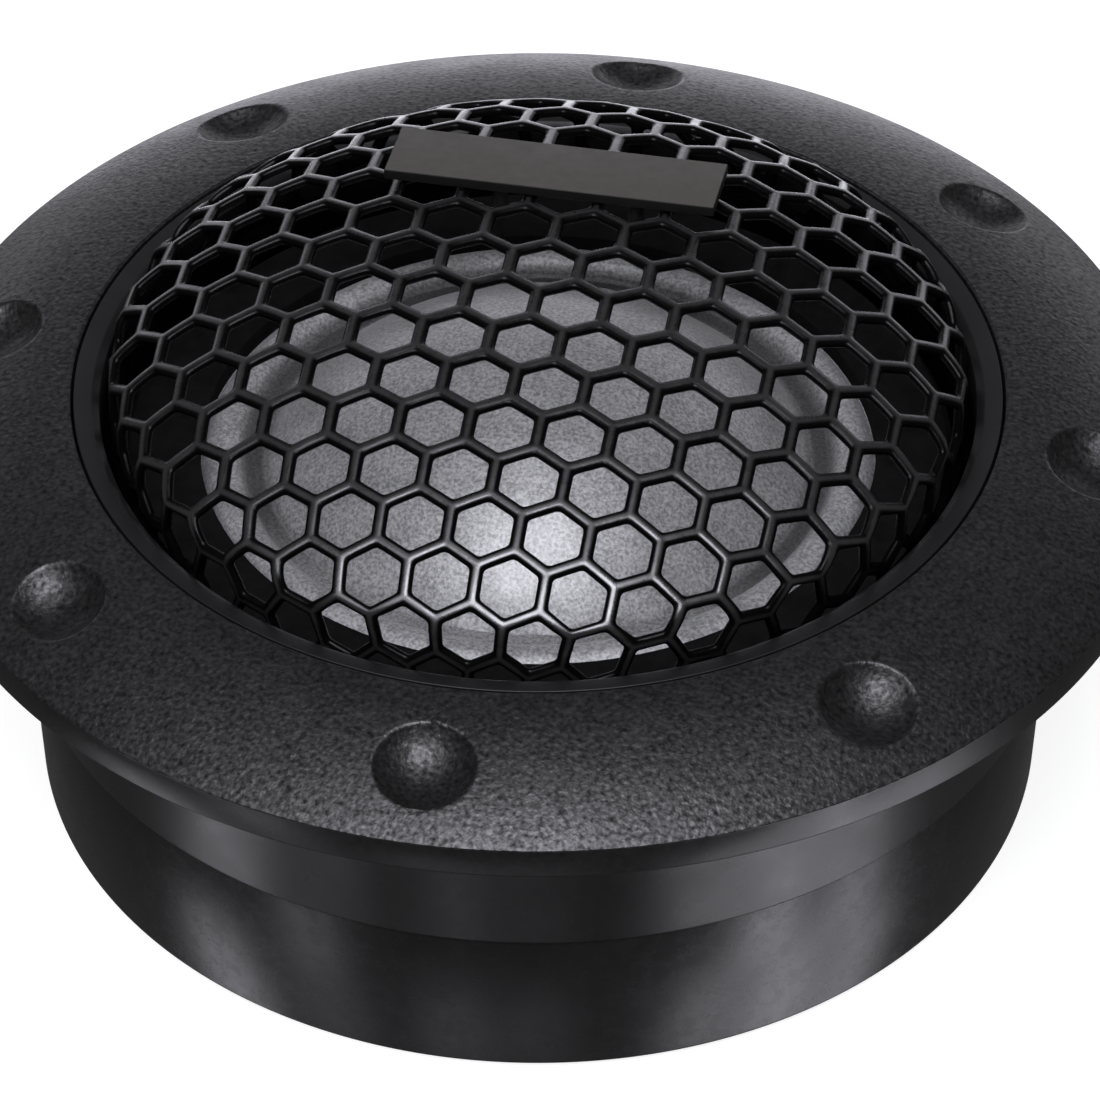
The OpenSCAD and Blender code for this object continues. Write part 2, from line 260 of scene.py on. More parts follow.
def twisted(start, end, radius, lift, strands=3, turns=9):
    """A lead of thin strands twisted round a line from start to end, which is raised by lift at its start."""
    start, end = np.array(start, float), np.array(end, float)
    along = (end - start) / np.linalg.norm(end - start)
    side = np.cross(along, (0, 0, 1))
    up = np.cross(side, along)
    steps, sides = 120, 8
    strand_r = radius / (1 + 1 / math.sin(math.pi / strands))
    points, faces = [], []
    for strand in range(strands):
        first = len(points)
        for i in range(steps + 1):
            t = i / steps
            a = 2 * math.pi * (turns * t + strand / strands)
            out = math.cos(a) * side + math.sin(a) * up
            middle = start + (end - start) * t + out * (radius - strand_r)
            middle[2] += lift * (1 - t) ** 2
            for k in range(sides):
                b = 2 * math.pi * k / sides
                points.append(middle + strand_r * (math.cos(b) * side + math.sin(b) * up))
        for i in range(steps):
            for k in range(sides):
                low, high = first + i * sides, first + (i + 1) * sides
                faces.append([low + k, low + (k + 1) % sides, high + (k + 1) % sides, high + k])
        faces.append([first + k for k in reversed(range(sides))])
        faces.append([first + steps * sides + k for k in range(sides)])
    return points, faces


def ruffled(shape, size, depth, seed):
    """A shape whose points are pushed inwards by up to depth in soft waves about size millimetres long."""
    points = np.array(shape[0], float)
    count = 24
    waves = np.random.default_rng(seed).normal(size=(count, 3)) * 2 * math.pi / size
    phases = np.random.default_rng(seed + 1).uniform(0, 2 * math.pi, count)
    lift = np.sin(points @ waves.T + phases).sum(1) / count
    lift = 0.5 + 0.5 * np.tanh(lift * 3)
    middle = points.mean(0)
    away = points - middle
    away /= np.maximum(np.linalg.norm(away, axis=1, keepdims=True), 1e-6)
    return list(points - away * (lift * depth)[:, None]), shape[1]


def box_shape(size, radius):
    """A box with rounded edges, centred on the origin."""
    bm = bmesh.new()
    bmesh.ops.create_cube(bm, size=1)
    for v in bm.verts:
        v.co = Vector(c * s for c, s in zip(v.co, size))
    bmesh.ops.bevel(bm, geom=bm.edges[:], offset=radius, segments=4, profile=0.5, affect="EDGES")
    bm.verts.index_update()
    shape = [tuple(v.co) for v in bm.verts], [[v.index for v in f.verts] for f in bm.faces]
    bm.free()
    return shape


# ---- Materials --------------------------------------------------------------------------


class Look:
    """A Principled material and the few node patterns that the looks need, in metres of object space."""

    def __init__(self, name, **settings):
        self.material = bpy.data.materials.new(name)
        self.material.use_nodes = True
        self.tree = self.material.node_tree
        self.shader = self.tree.nodes["Principled BSDF"]
        for key, value in settings.items():
            socket = self.shader.inputs[key.replace("_", " ")]
            socket.default_value = (*value, 1) if isinstance(value, tuple) else value
        self.place = self.tree.nodes.new("ShaderNodeTexCoord").outputs["Object"]

    def node(self, kind, settings=(), **links):
        """A new node. A keyword i0, i1, ... stands for an input's number, and any other for its name."""
        made = self.tree.nodes.new("ShaderNode" + kind)
        for key, value in dict(settings).items():
            setattr(made, key, value)
        for key, value in links.items():
            socket = made.inputs[int(key[1:])] if key[0] == "i" and key[1:].isdigit() else made.inputs[key]
            if isinstance(value, bpy.types.NodeSocket):
                self.tree.links.new(value, socket)
            else:
                socket.default_value = value
        return made

    def noise(self, size, detail=2.0, rough=0.5, stretch=(1, 1, 1), distort=0.0):
        """Noise with features about size millimetres across, from 0 to 1."""
        where = self.node("Mapping", Vector=self.place, Scale=stretch).outputs[0]
        links = {"Scale": 1 / (size * MM), "Detail": detail, "Roughness": rough, "Distortion": distort}
        return self.node("TexNoise", Vector=where, **links).outputs[0]

    def cells(self, size, feature="F1", jitter=1.0):
        """Distance pattern of cells about size millimetres across."""
        return self.node(
            "TexVoronoi", {"feature": feature}, Vector=self.place, Scale=1 / (size * MM), Randomness=jitter
        ).outputs["Distance"]

    def ramp(self, value, *stops):
        """value through a colour ramp of (position, grey or colour) stops."""
        made = self.node("ValToRGB", Fac=value)
        ramp = made.color_ramp
        while len(ramp.elements) < len(stops):
            ramp.elements.new(0.5)
        for element, (position, colour) in zip(ramp.elements, stops):
            element.position = position
            element.color = (*colour, 1) if isinstance(colour, tuple) else (colour, colour, colour, 1)
        return made.outputs[0]

    def span(self, value, low, high, start=0.0, end=1.0):
        """value from start..end moved to low..high."""
        return self.node("MapRange", Value=value, i1=start, i2=end, i3=low, i4=high).outputs[0]

    def bump(self, height, depth, strength=1.0, under=None):
        """A bump of depth millimetres, over another one."""
        made = self.node("Bump", Height=height, Strength=strength, Distance=depth * MM)
        if under is not None:
            self.tree.links.new(under, made.inputs["Normal"])
        return made.outputs[0]

    def radius(self):
        """Distance from the sound axis."""
        flat = self.node("VectorMath", {"operation": "MULTIPLY"}, i0=self.place, i1=(1, 1, 0)).outputs[0]
        return self.node("VectorMath", {"operation": "LENGTH"}, i0=flat).outputs["Value"]

    def times(self, one, other):
        """The product of two values."""
        return self.node("Math", {"operation": "MULTIPLY"}, i0=one, i1=other).outputs[0]

    def set(self, key, value):
        """Links a value to the shader's own input."""
        self.tree.links.new(value, self.shader.inputs[key])


def grained_plastic():
    """Matte black moulding: fine spark-eroded grain on the face and bowls, a smooth band and skirt."""
    look = Look("moulded_plastic")
    height = look.node("SeparateXYZ", Vector=look.place).outputs["Z"]
    crown = look.span(height, 0, 1, (EDGE_H - 0.08) * MM, (EDGE_H - 0.02) * MM)
    bowls_end = RECESS_RING_R + RECESS_R
    inward = look.span(look.radius(), 1, 0, (bowls_end + 0.1) * MM, (bowls_end + 0.2) * MM)
    bowls = look.times(inward, look.span(height, 0, 1, 0.2 * MM, 0.4 * MM))
    face = look.node("Math", {"operation": "MAXIMUM"}, i0=crown, i1=bowls).outputs[0]
    haze = look.span(look.noise(2.2, detail=3), 0, 1, 0.3, 0.7)
    rough = look.node("Math", {"operation": "MULTIPLY_ADD"}, i0=haze, i1=0.06, i2=look.span(face, 0.26, 0.39))
    look.set("Base Color", look.ramp(look.noise(0.3, detail=2), (0.3, 0.003), (0.75, 0.01)))
    look.set("Roughness", rough.outputs[0])
    pebble = look.span(look.noise(0.24, detail=2, rough=0.5), 0, 1, 0.25, 0.75)
    coarse = look.bump(look.times(pebble, face), 0.016)
    look.set("Normal", look.bump(look.noise(0.1, detail=2), 0.002, 0.6, coarse))
    sparkle = look.span(look.noise(0.23, detail=1.5), -0.4, 0.4, 0.25, 0.75)
    gloss = look.node("Math", {"operation": "ADD"}, i0=look.times(sparkle, face), i1=0.5)
    look.set("Specular IOR Level", gloss.outputs[0])
    return look.material


def satin_plastic(name, roughness, tone=0.012, shine=0.5):
    """Smooth black plastic with the faint haze and fine marks of a moulded face."""
    look = Look(name, Specular_IOR_Level=shine)
    haze = look.noise(3.5, detail=4)
    marks = look.noise(0.9, detail=5, rough=0.7)
    look.set("Base Color", look.ramp(haze, (0.3, tone * 0.8), (0.7, tone * 1.25)))
    look.set("Roughness", look.span(marks, roughness - 0.04, roughness + 0.05, 0.3, 0.7))
    fine = look.bump(look.noise(0.12, detail=2), 0.0025, 0.6)
    look.set("Normal", look.bump(look.noise(1.6, detail=2), 0.004, 0.5, fine))
    return look.material


def dull_black():
    """Dead matte black plastic, a little dusty, made darker still as painted shade for what lies deep under
    the mesh.
    """
    look = Look("inner_plastic", Roughness=0.8, Specular_IOR_Level=0.12)
    look.set("Base Color", look.ramp(look.noise(0.6, detail=4), (0.3, 0.002), (0.75, 0.006)))
    look.set("Normal", look.bump(look.noise(0.25, detail=3), 0.02, 0.8))
    return look.material


def mesh_paint():
    """Thin black paint on the pressed mesh. The lighter graphite grey and extra shine along the strands'
    crests are a painted highlight; low on the wall they fade out as painted shade.
    """
    look = Look("grille_paint")
    place = look.node("SeparateXYZ", Vector=look.place).outputs
    # the painted shade low on the wall starts lower at the front, towards -Y, so the painted crest highlight
    # reaches lower there
    lower = look.span(place["Y"], 2.4 * MM, 0, -19 * MM, -14 * MM)
    height = look.node("Math", {"operation": "ADD"}, i0=place["Z"], i1=lower).outputs[0]
    # painted shade: below this height the crests' painted highlight and the shine fade out
    clear_of_painted_shade = look.span(height, 0, 1, 3 * MM, 5.5 * MM)
    crest = look.node("Attribute", {"attribute_name": CREST}).outputs["Fac"]
    uneven = look.noise(0.8, detail=3)
    edge = look.node("Math", {"operation": "MULTIPLY_ADD"}, i0=uneven, i1=0.6, i2=crest).outputs[0]
    # painted highlight: a lighter grey along the middle of each crest
    painted_crest_highlight = look.times(look.span(edge, 0, 1, 0.7, 0.98), clear_of_painted_shade)
    shine = look.span(crest, 0.1, 1, 0.05, 0.4)
    look.set("Specular IOR Level", look.times(shine, clear_of_painted_shade))
    look.set("Base Color", look.ramp(painted_crest_highlight, (0, 0.0015), (1, 0.014)))
    look.set("Roughness", look.span(look.noise(0.5, detail=4), 0.24, 0.34, 0.3, 0.7))
    look.set("Normal", look.bump(look.noise(0.35, detail=2), 0.012, 0.6))
    return look.material


def plate_paint():
    """Plain mid-grey paint on the face of the plate; its sides and pins are black as painted shade."""
    look = Look("plate_paint", Specular_IOR_Level=0.3)
    facing = look.node("NewGeometry").outputs["Normal"]
    upward = look.node("SeparateXYZ", Vector=facing).outputs["Z"]
    grey = look.ramp(look.noise(0.5, detail=4), (0.3, (0.053, 0.05, 0.044)), (0.7, (0.062, 0.059, 0.052)))
    # painted shade: only faces that look up keep the grey, the sides and pins go black
    unshaded_face = look.span(upward, 0.04, 1, 0.85, 0.97)
    look.set("Base Color", look.node("VectorMath", {"operation": "SCALE"}, i0=grey, Scale=unshaded_face).outputs[0])
    look.set("Roughness", look.span(look.noise(1.2, detail=3), 0.55, 0.68, 0.3, 0.7))
    look.set("Normal", look.bump(look.noise(0.12, detail=3), 0.004, 0.7))
    return look.material


def valley_shade(look):
    """1, and less in the valley round the dome: painted shade, lightest at the front."""
    off = look.node("Math", {"operation": "SUBTRACT"}, i0=look.radius(), i1=VALLEY_R * MM).outputs[0]
    off = look.node("Math", {"operation": "ABSOLUTE"}, i0=off).outputs[0]
    soft = {"interpolation_type": "SMOOTHSTEP"}
    near = look.node("MapRange", soft, Value=off, i1=0.2 * MM, i2=0.95 * MM, i3=1, i4=0).outputs[0]
    across = look.node("SeparateXYZ", Vector=look.place).outputs["Y"]
    # the painted shade is weakest at the front, towards -Y
    painted_shade_depth = look.node("MapRange", soft, Value=across, i1=-12 * MM, i2=-6 * MM, i3=0.25, i4=0.8).outputs[0]
    return look.node("Math", {"operation": "MULTIPLY_ADD"}, i0=look.times(near, painted_shade_depth), i1=-1, i2=1).outputs[0]


def coated_cloth(name, dark, light, roughness):
    """Silver-grey coated silk with a fine speckle. Painted shade darkens it in the valley round the dome."""
    look = Look(name, Metallic=0.35, Sheen_Weight=0.15, Sheen_Roughness=0.4)
    speckle = look.noise(0.16, detail=3, rough=0.65)
    cloud = look.noise(2.5, detail=3)
    spread = look.span(speckle, 0, 0.7, 0.33, 0.67)
    mixed = look.node("Math", {"operation": "MULTIPLY_ADD"}, i0=cloud, i1=0.3, i2=spread)
    colour = look.ramp(mixed.outputs[0], (0.2, dark), (0.8, light))
    shade = valley_shade(look)
    look.set("Base Color", look.node("VectorMath", {"operation": "SCALE"}, i0=colour, Scale=shade).outputs[0])
    look.set("Roughness", look.span(speckle, roughness - 0.06, roughness + 0.08, 0.3, 0.7))
    thread = look.bump(look.noise(0.22, detail=2), 0.012, 0.8)
    look.set("Normal", look.bump(speckle, 0.01, 0.6, thread))
    return look.material


def metal(name, color, roughness, brushed=(1, 1, 1), tint=0.85):
    """Bare or plated metal with fine marks along the direction in which it was worked."""
    look = Look(name, Metallic=1.0)
    marks = look.noise(0.25, detail=4, stretch=brushed)
    darker = tuple(c * tint for c in color)
    look.set("Base Color", look.ramp(look.noise(1.4, detail=4), (0.3, darker), (0.7, color)))
    look.set("Roughness", look.span(marks, roughness * 0.75, roughness * 1.3, 0.3, 0.7))
    look.set("Normal", look.bump(marks, 0.004, 0.6))
    return look.material


def wound_copper():
    """Enamelled copper: varnish thicker between the turns of the winding."""
    look = Look("coil_copper", Metallic=1.0, Coat_Weight=0.6, Coat_Roughness=0.1, Roughness=0.3)
    varnish = look.noise(0.7, detail=4)
    look.set("Base Color", look.ramp(varnish, (0.3, (0.35, 0.11, 0.035)), (0.7, (0.75, 0.33, 0.14))))
    look.set("Normal", look.bump(look.noise(0.15, detail=2), 0.004, 0.8))
    return look.material


def fibres(name, dark, light, size, depth):
    """Felt, foam or pressed board: tangled fibres or pores about size millimetres across."""
    look = Look(name, Roughness=0.95, Specular_IOR_Level=0.2, Sheen_Weight=0.1)
    tangle = look.noise(size, detail=5, rough=0.75, distort=1.2)
    look.set("Base Color", look.ramp(tangle, (0.3, dark), (0.7, light)))
    look.set("Normal", look.bump(tangle, depth, 1.0, look.bump(look.cells(size * 2), depth, 0.6)))
    return look.material


def rubber():
    """Matte black rubber with a faint bloom."""
    look = Look("grommet_rubber", Roughness=0.8, Specular_IOR_Level=0.3)
    look.set("Base Color", look.ramp(look.noise(0.8, detail=4), (0.3, 0.012), (0.7, 0.03)))
    look.set("Normal", look.bump(look.noise(0.15, detail=3), 0.008, 0.8))
    return look.material


# ---- Faceplate --------------------------------------------------------------------------


def crown_at(r):
    """Height of the crown at radius r."""
    return CROWN_TOP - CROWN_R + np.sqrt(CROWN_R**2 - (r - CROWN_X) ** 2)


def crown_outline():
    """The crown from the pocket out to the band, with close points where the recesses lie."""
    corner = 0.12
    r = np.concatenate([
        np.linspace(POCKET_R + corner, RECESSES_FROM_R, 8)[:-1],
        np.linspace(RECESSES_FROM_R, RECESSES_TO_R, 56),
        np.linspace(RECESSES_TO_R, FLANGE_R - corner, 6)[1:],
    ])
    return np.stack([r, crown_at(r)], 1)


def faceplate_angles(centres):
    """Angles of the turned outline, close together where it crosses a recess."""
    fine = np.linspace(-RECESS_SPREAD, RECESS_SPREAD, 66)
    wide = np.linspace(RECESS_SPREAD, 2 * math.pi / RECESS_COUNT - RECESS_SPREAD, 30)[1:-1]
    return np.concatenate([c + part for c in centres for part in (fine, wide)])


def with_recess(points, turn):
    """Points of the crown, moved down into the bowl that lies at angle turn."""
    tilt = math.asin((RECESS_RING_R - CROWN_X) / CROWN_R)
    bowl_r = (RECESS_R**2 + RECESS_DEPTH**2) / (2 * RECESS_DEPTH)
    way = np.array((math.cos(turn), math.sin(turn), 0))
    axis = math.sin(tilt) * way + (0, 0, math.cos(tilt))
    away = points - (RECESS_RING_R * way + (0, 0, crown_at(RECESS_RING_R)))
    height = away @ axis
    across = np.sqrt(np.maximum((away**2).sum(1) - height**2, 0))
    bowl = bowl_r - RECESS_DEPTH - np.sqrt(np.maximum(bowl_r**2 - np.minimum(across, bowl_r) ** 2, 0))
    blend = np.clip(0.5 + 0.5 * (bowl - height) / RECESS_RIM, 0, 1)
    sunk = bowl * (1 - blend) + height * blend - RECESS_RIM * blend * (1 - blend)
    # further out than this, the bowl's sphere turns back and means nothing
    near = across < bowl_r * 0.98
    sunk = np.where(near, np.minimum(sunk, height), height)
    return points + (sunk - height)[:, None] * axis


def faceplate():
    """Flange and skirt in one turned outline, with the bowls sunk into the crown."""
    steps = 5  # points that rounded() gives each of the crown's two corners
    rest = rounded([
        (POCKET_R, crown_at(POCKET_R), 0.1),
        (FLANGE_R, EDGE_H, 0.07),
        (FLANGE_R, 0, 0.12),
        (SKIRT_R, 0, 0.1),
        (SKIRT_R, SKIRT_LOW, 0.15),
        (SKIRT_IN_R, SKIRT_LOW, 0.1),
        (SKIRT_IN_R, SHELF_LOW, 0.2),
        (SHELF_R, SHELF_LOW, 0.1),
        (SHELF_R, SHELF_Z, 0.1),
        (BEZEL_R + 0.05, SHELF_Z, 0),
        (BEZEL_R + 0.05, LEDGE_Z, 0.05),
        (POCKET_R, LEDGE_Z, 0),
    ], steps)
    crown = crown_outline()
    centres = np.arange(RECESS_COUNT) * 2 * math.pi / RECESS_COUNT
    angles = faceplate_angles(centres)
    points, faces = lathe(np.concatenate([rest[:steps], crown, rest[steps:]]), angles)
    points = np.array(points, float)
    crown_rows = slice(steps * len(angles), (steps + len(crown)) * len(angles))
    for c in centres:
        points[crown_rows] = with_recess(points[crown_rows], c)
    return list(points), faces


# ---- Grille, bezel and nameplate --------------------------------------------------------


def mesh_height(r):
    """Height of the domed mesh's face at radius r."""
    return DOME_SHOULDER + (GRILLE_TOP - DOME_SHOULDER) * (1 - (r / DOME_BASE_R) ** DOME_POWER) ** ROUND_POWER


def bezel():
    """Ring that clamps the mesh's rim. Its top slopes down towards the opening."""
    slope_r = OPENING_R + 0.35
    slope_top, slope_low = BEZEL_TOP - 0.15, BEZEL_TOP - 0.45
    return lathe(rounded([
        (OPENING_R, CLAMP_Z, 0.05),
        (BEZEL_R, CLAMP_Z, 0.05),
        (BEZEL_R, LEDGE_Z, 0),
        (BEZEL_RIM_R, LEDGE_Z, 0.05),
        (BEZEL_RIM_R, BEZEL_TOP, 0.05),
        (slope_r, slope_top, 0.25),
        (OPENING_R, slope_low, 0.12),
    ]), 360)


def grille_profile():
    """The mesh's outer face from its top to its clamped rim: flat distance, r, z and the outward normal."""
    r = np.linspace(0, GRILLE_R, 500)
    path = np.concatenate([
        np.stack([r, mesh_height(r)], 1),
        [(GRILLE_R, CLAMP_Z), (GRILLE_RIM_R - 0.1, CLAMP_Z)],
    ])
    along = np.concatenate([[0], np.cumsum(np.linalg.norm(np.diff(path, axis=0), axis=1))])
    step = 0.05
    even = np.arange(0, along[-1], step)
    r, z = np.interp(even, along, path[:, 0]), np.interp(even, along, path[:, 1])
    softness, half = 0.3, 20
    kernel = np.exp(-0.5 * (np.arange(-half, half + 1) * step / softness) ** 2)
    kernel /= kernel.sum()
    wide_r = np.concatenate([-r[half:0:-1], r, np.full(half, r[-1])])
    wide_z = np.concatenate([z[half:0:-1], z, np.full(half, z[-1])])
    r, z = np.convolve(wide_r, kernel, "valid"), np.convolve(wide_z, kernel, "valid")
    slope_r, slope_z = np.gradient(r), np.gradient(z)
    size = np.hypot(slope_r, slope_z)
    flat = even * (1 + MESH_DRAW * (r / DOME_BASE_R) ** 2)
    return flat, r, z, -slope_z / size, slope_r / size


def mesh_cells(limit):
    """Column, row and flat place of every cell whose middle is within limit of the top."""
    cells = {}
    columns, rows = 14, 12
    row_step = PITCH * math.sqrt(3) / 2
    turn = complex(math.cos(MESH_TURN), math.sin(MESH_TURN))
    for j in range(-rows, rows + 1):
        for i in range(-columns, columns + 1):
            # i counts along the row in the lattice's own skewed axes, so that neighbours are one step away
            middle = complex((i + j / 2) * PITCH, j * row_step) * turn + complex(*MESH_SHIFT)
            if abs(middle) < limit:
                cells[i, j] = middle
    return cells


def opening_outline(inset):
    """A hexagon that lies inset millimetres inside its cell, with softened corners."""
    half_side = math.tan(math.radians(30))
    least_cut, inner_share = 0.12, 0.35
    apothem = PITCH / 2 - inset
    soft = CORNER_R * inset / (STRAND_W / 2)
    tangent = apothem * half_side - max(soft * half_side, least_cut)
    loop = []
    for side in range(6):
        normal = complex(math.cos(side * math.pi / 3), math.sin(side * math.pi / 3))
        for s in (-tangent, -tangent * inner_share, tangent * inner_share, tangent):
            loop.append(normal * complex(apothem, s))
        corner = normal * complex(math.cos(math.pi / 6), math.sin(math.pi / 6))
        tip = apothem / math.cos(math.pi / 6) - soft * (1 / math.cos(math.pi / 6) - 1)
        loop.append(corner * tip)
    return np.array(loop)


def opening_rings():
    """An opening's outline, depth and crest value at each step round its strands' rounded section."""
    section = np.linspace(0, math.pi, SECTION_STEPS)
    power = 2 / STRAND_POWER
    insets = STRAND_W / 2 * np.abs(np.sin(section)) ** power
    depths = STRAND_T / 2 * (1 - np.sign(np.cos(section)) * np.abs(np.cos(section)) ** power)
    rings = []
    for step, (inset, depth) in enumerate(zip(insets, depths)):
        crest = max(0, 1 - inset / CREST_HALF) if step < SECTION_STEPS / 2 else 0
        rings.append((opening_outline(inset), depth, crest))
    return rings


def on_profile(spots, depth, profile):
    """Places of the flat lattice laid onto the domed profile, depth millimetres under its face."""
    flat, prof_r, prof_z, out_r, out_z = profile
    theta = np.angle(spots)
    rho = np.minimum(np.abs(spots), flat[-1])
    r = np.interp(rho, flat, prof_r) - np.interp(rho, flat, out_r) * depth
    z = np.interp(rho, flat, prof_z) - np.interp(rho, flat, out_z) * depth
    return zip(r * np.cos(theta), r * np.sin(theta), z)


def opening_faces(start, open_sides):
    """Faces between an opening's rings, and those that close the sides where the lattice ends."""
    faces = []
    for ring in range(SECTION_STEPS - 1):
        low, high = start + ring * AROUND, start + (ring + 1) * AROUND
        for a in range(AROUND):
            b = (a + 1) % AROUND
            faces.append([low + a, low + b, high + b, high + a])
    under = start + (SECTION_STEPS - 1) * AROUND
    for side in open_sides:
        first = side * PER_SIDE - 1
        for a in range(first, first + PER_SIDE):
            here, ahead = a % AROUND, (a + 1) % AROUND
            faces.append([start + here, under + here, under + ahead, start + ahead])
    return faces


def welded(points, faces, crests):
    """The lattice with the points that its openings share made one, and the points' crest values."""
    bm = bmesh.new()
    crest = bm.verts.layers.float.new(CREST)
    verts = [bm.verts.new(p) for p in points]
    for vert, value in zip(verts, crests):
        vert[crest] = value
    for face in faces:
        bm.faces.new([verts[v] for v in face])
    bmesh.ops.remove_doubles(bm, verts=bm.verts[:], dist=1e-4)
    bmesh.ops.recalc_face_normals(bm, faces=bm.faces[:])
    bm.verts.index_update()
    shape = [tuple(v.co) for v in bm.verts], [[v.index for v in f.verts] for f in bm.faces]
    crests = [v[crest] for v in bm.verts]
    bm.free()
    return shape, crests


def grille_border():
    """The plain border below the lowest cells and the rim that the bezel clamps."""
    inner_r, rim_low, rim_top = GRILLE_R - STRAND_T, GRILLE_LOW + GAP, CLAMP_Z - GAP
    return lathe(rounded([
        (inner_r, rim_low, 0.1),
        (GRILLE_RIM_R, rim_low, 0.1),
        (GRILLE_RIM_R, rim_top, 0.1),
        (GRILLE_R, rim_top, 0),
        (GRILLE_R, BORDER_Z, 0.1),
        (inner_r, BORDER_Z, 0.1),
    ], 3), 180)


def grille():
    """Hexagon mesh: each opening is a ring of faces around the rounded section of its strands.

    Gives the shape and how far each point lies on a strand's crest.
    """
    profile = grille_profile()
    cells = mesh_cells(profile[0][-1] - CELL_MARGIN)
    rings = opening_rings()
    turn = complex(math.cos(MESH_TURN), math.sin(MESH_TURN))
    neighbours = [(1, 0), (0, 1), (-1, 1), (-1, 0), (0, -1), (1, -1)]
    points, faces, crests = [], [], []
    for (i, j), middle in cells.items():
        open_sides = [side for side, (di, dj) in enumerate(neighbours) if (i + di, j + dj) not in cells]
        faces.extend(opening_faces(len(points), open_sides))
        for outline, depth, crest in rings:
            points.extend(on_profile(middle + outline * turn, depth, profile))
            crests.extend([crest] * AROUND)
    lattice, crests = welded(points, faces, crests)
    border = grille_border()
    return joined(lattice, border), crests + [0.0] * len(border[0])


def nameplate():
    """The blank plate with its softened edges, on two pins."""
    plate = placed(box_shape(PLATE_SIZE, 0.07), Matrix.Translation((0, 0, PLATE_SIZE[2] / 2)))
    sunk = 0.1  # how far a pin reaches into the plate
    outline = rounded([(0, -PIN_H, 0), (PIN_R, -PIN_H, 0.1), (PIN_R, sunk, 0), (0, sunk, 0)], 3)
    pin = lathe(outline, 32, closed=False)
    pin_x = MESH_SHIFT[0] - PLATE_X
    pins = [placed(pin, Matrix.Translation((pin_x + side * PITCH, PIN_Y, 0))) for side in (-1, 1)]
    plate_z = mesh_height(PLATE_Y) + PLATE_GAP
    where = Matrix.Translation((PLATE_X, PLATE_Y, plate_z)) @ Matrix.Rotation(-PLATE_TILT, 4, "X")
    return placed(joined(plate, *pins), where)


# ---- Diaphragm --------------------------------------------------------------------------


def dome():
    """Spherical cap with its skin's thickness and the collar that is glued to the former."""
    rise = DOME_TOP - DOME_BASE_Z
    outer = (DOME_R**2 + rise**2) / (2 * rise)
    centre = DOME_TOP - outer
    inner = outer - DOME_SKIN
    inner_r = DOME_R - COLLAR_T
    edge = math.asin(DOME_R / outer)
    under = math.asin(inner_r / inner)
    top = [(outer * math.sin(a), centre + outer * math.cos(a)) for a in np.linspace(0, edge, 64)]
    collar = [(DOME_R, DOME_BASE_Z - 0.1), (DOME_R, COLLAR_LOW), (inner_r, COLLAR_LOW)]
    below = [(inner * math.sin(a), centre + inner * math.cos(a)) for a in np.linspace(under, 0, 32)]
    return lathe(top + collar + below, 288, closed=False)


def surround():
    """Half roll between two flat lips, with its skin's thickness and soft feet."""
    top_z = SEAT_Z + CLOTH_T
    skin_r = ROLL_R - CLOTH_T
    foot, foot_angle = 0.06, 0.12
    turn = math.acos(CLOTH_T / ROLL_R) - foot_angle
    roll = [
        (ROLL_MID_R - ROLL_R * math.sin(a), SEAT_Z + ROLL_R * math.cos(a))
        for a in np.linspace(turn, -turn, 36)
    ]
    inner_foot = [(ROLL_MID_R - ROLL_R - foot, top_z)]
    outer_foot = [(ROLL_MID_R + ROLL_R + foot, top_z)]
    under = [
        (ROLL_MID_R - skin_r * math.sin(a), SEAT_Z + skin_r * math.cos(a))
        for a in np.linspace(-math.pi / 2, math.pi / 2, 24)
    ]
    inner_lip = [(DOME_R, SEAT_Z), (DOME_R, top_z)]
    outer_lip = [(SURROUND_R, top_z), (SURROUND_R, SEAT_Z)]
    return lathe([*inner_lip, *inner_foot, *roll, *outer_foot, *outer_lip, *under], 288)


def blend_outwards(obj, inner_r, outer_r):
    """Works out how far each point of a ring lies between inner_r and outer_r, eased, and does nothing with
    it.
    """
    places = np.empty(len(obj.data.vertices) * 3)
    obj.data.vertices.foreach_get("co", places)
    away = np.hypot(*places.reshape(-1, 3).T[:2]) / MM
    share = np.clip((away - inner_r) / (outer_r - inner_r), 0, 1)
    share = share * share * (3 - 2 * share)


def former():
    """Foil tube that carries the winding."""
    _, low, high = reach("coil_former")
    corners = [(FORMER_IN_R, low), (WINDING_IN_R, low), (WINDING_IN_R, high), (FORMER_IN_R, high)]
    return lathe(rounded([(r, z, 0.03) for r, z in corners], 3), 240)


def winding():
    """Fine wire wound in one visible layer: every turn is a ring of its own."""
    outer, low, high = reach("voice_coil")
    wire_r = (high - low) / WINDING_TURNS / 2
    outline = [(WINDING_IN_R, high), (WINDING_IN_R, low)]
    for turn in range(WINDING_TURNS):
        middle = low + (2 * turn + 1) * wire_r
        for a in np.linspace(-math.pi / 2, math.pi / 2, 5):
            # 0.98 leaves a narrow floor between one turn and the next
            outline.append((outer - wire_r + wire_r * math.cos(a), middle + wire_r * 0.98 * math.sin(a)))
    return lathe(outline, 160)


# ---- Motor ------------------------------------------------------------------------------


def turned(corners, angles=160):
    """A solid of revolution from (r, z, radius) corners that start and end on the axis."""
    return lathe(rounded(corners, 4), angles, closed=False)


def pole_plate():
    """Steel disc on the magnet."""
    return turned([(0, POLE_LOW, 0), (POLE_R, POLE_LOW, 0.1), (POLE_R, POLE_TOP, 0.1), (0, POLE_TOP, 0)])


def magnet():
    """Plated disc under the pole plate."""
    low, high = MAGNET_LOW, POLE_LOW
    return turned([(0, low, 0), (MAGNET_R, low, 0.3), (MAGNET_R, high, 0.3), (0, high, 0)])


